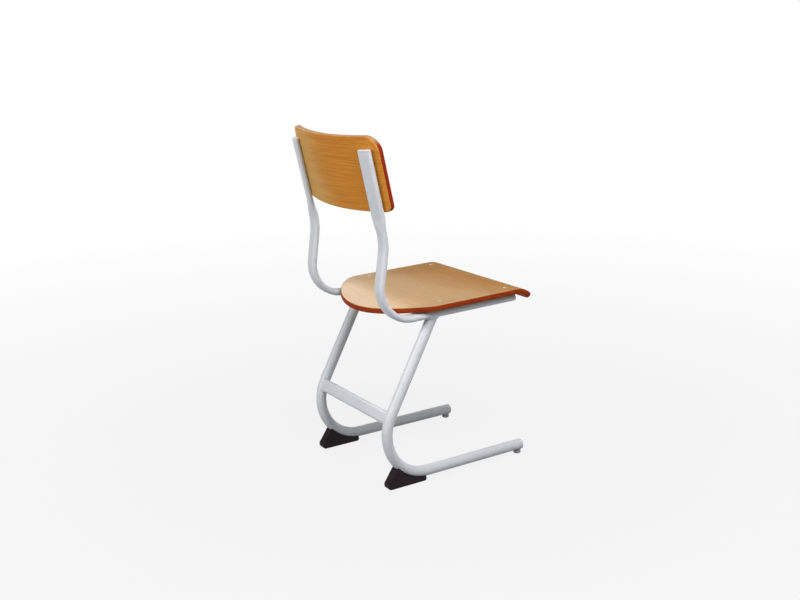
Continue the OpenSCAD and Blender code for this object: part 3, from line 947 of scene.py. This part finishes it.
class CHAIR_OT_welds(Operator):
    """Run painted weld beads round the joints of the tubes"""

    bl_idname = "chair.welds"
    bl_label = "Welds"

    def execute(self, context):
        sizes = settings().fasteners
        step = sizes.bead_pitch / 2
        loops = []
        for hand in (-1, 1):
            loops += [leg_top_loop(hand, step), stretcher_loop(hand, step), cross_rail_loop(hand, step)]
        paint = finish("chair_powder_coat")
        mesh = run_tree(
            "weld_beads",
            loop_mesh("weld_paths", loops),
            weld_tree(),
            Bead_Radius=sizes.bead_radius,
            Ripple_Pitch=sizes.bead_pitch,
            Material=paint,
        )
        to_object("weld_beads", mesh, paint, "frame_paint")
        return {"FINISHED"}


def rivet_tree():
    """Geometry nodes: one turned head on each point, facing as the point says."""
    tree, given, last = geometry_tree("chair_rivet_heads", {"Head": "Object"})
    head = add_node(tree, "GeometryNodeObjectInfo", {"Object": given["Head"]})["Geometry"]
    named = {"Name": "facing"}
    facing = add_node(tree, "GeometryNodeInputNamedAttribute", named, data_type="FLOAT_VECTOR")
    towards = {"Vector": facing["Attribute"]}
    turn = add_node(tree, "FunctionNodeAlignRotationToVector", towards, axis="Z")["Rotation"]
    spread = {"Points": given["Geometry"], "Instance": head, "Rotation": turn}
    heads = add_node(tree, "GeometryNodeInstanceOnPoints", spread)["Instances"]
    end_tree(tree, heads, given["Material"], last)
    return tree


def rivet_head(radius, rise):
    """A low domed head with a rolled rim and the small dimple of its pulled stem."""
    dimple = 0.24 * radius
    dome = (radius**2 + rise**2) / (2 * rise)
    profile = [(0.0, rise * 0.80), (dimple * 0.8, rise * 0.82), (dimple, rise * 0.97)]
    for i in range(1, 8):
        r = dimple + (radius * 0.96 - dimple) * i / 7
        profile.append((r, sqrt(dome**2 - r**2) - dome + rise + 0.06 * rise))
    profile += [(radius, rise * 0.06), (radius * 0.97, -0.1 * rise), (0.0, -0.1 * rise)]
    return lathe(profile, 32)


def axis_of(places):
    """Centre, axis and the two ends along it of a slim turned solid."""
    centre = sum(places, Vector()) / len(places)
    spread = Matrix(((0.0,) * 3,) * 3)
    for p in places:
        d = p - centre
        for i in range(3):
            for j in range(3):
                spread[i][j] += d[i] * d[j]
    # Repeated multiplying turns any direction to the longest axis
    axis = Vector((0.3, 0.5, 0.8)).normalized()
    for _ in range(200):
        axis = (spread @ axis).normalized()
    reach = [(p - centre).dot(axis) for p in places]
    return centre, axis, min(reach), max(reach)


def facing_points(name, rows):
    """Bare points that each carry a direction."""
    mesh = bpy.data.meshes.new(name)
    mesh.from_pydata([tuple(p) for p, _ in rows], [], [])
    facing = mesh.attributes.new("facing", "FLOAT_VECTOR", "POINT")
    for slot, (_, direction) in zip(facing.data, rows):
        slot.vector = direction
    return mesh


class CHAIR_OT_rivets(Operator):
    """Set domed rivet heads in the seat and the back"""

    bl_idname = "chair.rivets"
    bl_label = "Rivets"

    def execute(self, context):
        sizes = settings().fasteners
        metal = finish("chair_rivet_metal")
        head_mesh = mesh_of(rivet_head(sizes.head_radius, sizes.head_rise), "rivet_head")
        head = placed("rivet_head_helper", head_mesh)
        tree = rivet_tree()
        groups = {"seat_rivets": Vector((0, 0, 1)), "back_rivets": Vector((0, -1, 0))}
        for node, outward in groups.items():
            rows = []
            for places in separate_solids(node):
                centre, axis, low, high = axis_of(places)
                if axis.dot(outward) < 0:
                    axis, low, high = -axis, -high, -low
                rows.append((centre + axis * (high - sizes.head_rise), axis))
                if node == "seat_rivets":
                    rows.append((centre + axis * (low + sizes.head_rise), -axis))
            points = facing_points(node + "_points", rows)
            mesh = run_tree(node + "_turned", points, tree, Head=head, Material=metal)
            to_object(node + "_turned", mesh, metal, "rivet_metal", node)
        bpy.data.objects.remove(head)
        return {"FINISHED"}


def dress_moulded(nodes, plastic, rounding, steps, keep=None):
    """Softened copies of like moulded pieces, with a plastic's finish."""
    for node in nodes:
        name = node + "_moulded"
        mesh = softened_copy(node, name, rounding, steps, keep)
        to_object(name, mesh, finish("chair_" + plastic), plastic, node)


def on_cradle(place):
    """Whether a place of a rear foot lies on the hollow for the tube or the screw's hole."""
    flat = Vector((place.y - LEG_BEND.y, place.z - LEG_BEND.z))
    screw = Vector((abs(place.x) - SIDE, flat.x - FOOT_SCREW_BACK))
    return flat.length < CRADLE_REACH or screw.length < FOOT_SCREW_REACH


class CHAIR_OT_feet(Operator):
    """Round the edges of the moulded rear feet and front glides"""

    bl_idname = "chair.feet"
    bl_label = "Feet"

    def execute(self, context):
        edges = settings().edges
        dress_moulded(REAR_FEET, "foot_plastic", edges.foot_round, 4, on_cradle)
        dress_moulded(FRONT_GLIDES, "spacer_plastic", edges.plug_round, 2)
        return {"FINISHED"}


class CHAIR_OT_plugs(Operator):
    """Round the edges of the plugs in the open tube ends"""

    bl_idname = "chair.plugs"
    bl_label = "End plugs"

    def execute(self, context):
        dress_moulded(END_PLUGS, "plug_plastic", settings().edges.plug_round, 2)
        return {"FINISHED"}


class CHAIR_OT_small_parts(Operator):
    """Finish the seat spacers and the foot screws"""

    bl_idname = "chair.small_parts"
    bl_label = "Spacers and screws"

    def execute(self, context):
        coat_node("seat_spacers", finish("chair_spacer_plastic"))
        coat_node("foot_screws", finish("chair_screw_steel"))
        return {"FINISHED"}


# Stage


def seen_or_mirrored(tree):
    """Whether a ray comes from the camera, and whether it comes from a gloss or a clear surface."""
    path = add_node(tree, "ShaderNodeLightPath")
    bounced = maths(tree, "MAXIMUM", path["Is Glossy Ray"], path["Is Transmission Ray"])
    return path["Is Camera Ray"], bounced


def mix_surface(tree, output, share, first, second):
    """Mixes two shaders into a material's or a world's output."""
    mixed = add_node(tree, "ShaderNodeMixShader", {0: share, 1: first, 2: second})
    give(tree, tree.nodes[output], Surface=mixed["Shader"])


def studio_floor():
    """A wide pale disc that fades to white far from the chair and keeps the chair's shadow."""
    bm = bmesh.new()
    bmesh.ops.create_circle(bm, cap_ends=True, segments=96, radius=FLOOR_RADIUS)
    floor = placed("studio_floor", mesh_of(bm, "studio_floor"))
    material, tree, shader = new_material("studio_floor")
    give(tree, shader, Base_Color=settings().colours.floor, Roughness=0.9, Specular_IOR_Level=0.1)
    place = add_node(tree, "ShaderNodeTexCoord")["Object"]
    far = add_node(tree, "ShaderNodeVectorMath", {0: place}, operation="LENGTH")["Value"]
    pale_share = ramp(tree, far, *FLOOR_FADE, FLOOR_WHITE, 1.0, "LINEAR")
    seen = maths(tree, "MAXIMUM", *seen_or_mirrored(tree))
    share = maths(tree, "MULTIPLY", seen, pale_share)
    white = add_node(tree, "ShaderNodeEmission", {"Strength": 1.0})["Emission"]
    mix_surface(tree, "Material Output", share, shader.outputs["BSDF"], white)
    floor.data.materials.append(material)


def studio_world(strength):
    """Even studio light, with a white backdrop that the camera sees and the gloss mirrors low down."""
    world = bpy.data.worlds.new("studio")
    bpy.context.scene.world = world
    world.use_nodes = True
    tree = world.node_tree
    even = tree.nodes["Background"]
    give(tree, even, Color=SKY_COLOUR, Strength=strength)
    plain = {"Color": (1.0, 1.0, 1.0), "Strength": 1.0}
    white = add_node(tree, "ShaderNodeBackground", plain)["Background"]
    seen, bounced = seen_or_mirrored(tree)
    way = add_node(tree, "ShaderNodeTexCoord")["Generated"]
    height = add_node(tree, "ShaderNodeSeparateXYZ", {0: way})["Z"]
    low = maths(tree, "MULTIPLY", bounced, ramp(tree, height, 0.0, BACKDROP_TOP, 1.0, 0.0))
    share = maths(tree, "MAXIMUM", seen, low)
    mix_surface(tree, "World Output", share, even.outputs["Background"], white)


def soft_light(name, place, size, watts):
    """A square softbox aimed at the middle of the chair."""
    lamp = bpy.data.lights.new(name, "AREA")
    lamp.size = size
    lamp.energy = watts
    obj = placed(name, lamp)
    obj.location = place
    obj.visible_camera = False
    aim = LIGHT_AIM - Vector(place)
    obj.rotation_euler = aim.to_track_quat("-Z", "Y").to_euler()


def photo_camera(stage):
    """The camera at the photographer's place; at rest it looks straight down, its top to the rear."""
    yaw, pitch, roll = stage.camera_turn
    turn = Matrix.Rotation(pi + yaw, 4, "Z") @ Matrix.Rotation(pi / 2 + pitch, 4, "X")
    turn @= Matrix.Rotation(roll, 4, "Z")
    data = bpy.data.cameras.new("photo_camera")
    data.sensor_width = 36.0
    data.sensor_fit = "HORIZONTAL"
    data.lens = stage.lens
    camera = placed("photo_camera", data)
    camera.matrix_world = Matrix.Translation(stage.camera_place) @ turn
    bpy.context.scene.camera = camera


class CHAIR_OT_stage(Operator):
    """Set the pale floor, the soft lights and the camera"""

    bl_idname = "chair.stage"
    bl_label = "Stage"

    def execute(self, context):
        stage = settings().stage
        studio_floor()
        studio_world(stage.sky)
        for name, (place, size) in SOFTBOXES.items():
            soft_light(name + "_light", place, size, getattr(stage, name + "_power"))
        photo_camera(stage)
        context.scene.view_settings.view_transform = "Standard"
        return {"FINISHED"}


class CHAIR_PT_sidebar(Panel):
    bl_idname = "CHAIR_PT_sidebar"
    bl_label = "Student Chair"
    bl_space_type = "VIEW_3D"
    bl_region_type = "UI"
    bl_category = "Chair"

    def draw(self, context):
        for operator in OPERATORS:
            self.layout.operator(operator.bl_idname)


OPERATORS = (
    CHAIR_OT_frame,
    CHAIR_OT_welds,
    CHAIR_OT_seat,
    CHAIR_OT_back,
    CHAIR_OT_rivets,
    CHAIR_OT_feet,
    CHAIR_OT_plugs,
    CHAIR_OT_small_parts,
    CHAIR_OT_stage,
)
CLASSES = (
    ChairSeatSettings,
    ChairBackSettings,
    ChairEdgeSettings,
    ChairFastenerSettings,
    ChairColourSettings,
    ChairStageSettings,
    ChairSettings,
    *OPERATORS,
    CHAIR_PT_sidebar,
)


def register():
    """Registers the classes and gives each scene the chair's settings."""
    for cls in CLASSES:
        bpy.utils.register_class(cls)
    bpy.types.Scene.chair = settings_group(ChairSettings, "Chair", "Settings of the student chair")


def unregister():
    """Takes back what register did."""
    del bpy.types.Scene.chair
    for cls in reversed(CLASSES):
        bpy.utils.unregister_class(cls)


def main():
    register()
    for operator in OPERATORS:
        family, action = operator.bl_idname.split(".")
        getattr(getattr(bpy.ops, family), action)()
    bpy.context.view_layer.update()


if __name__ == "__main__":
    main()
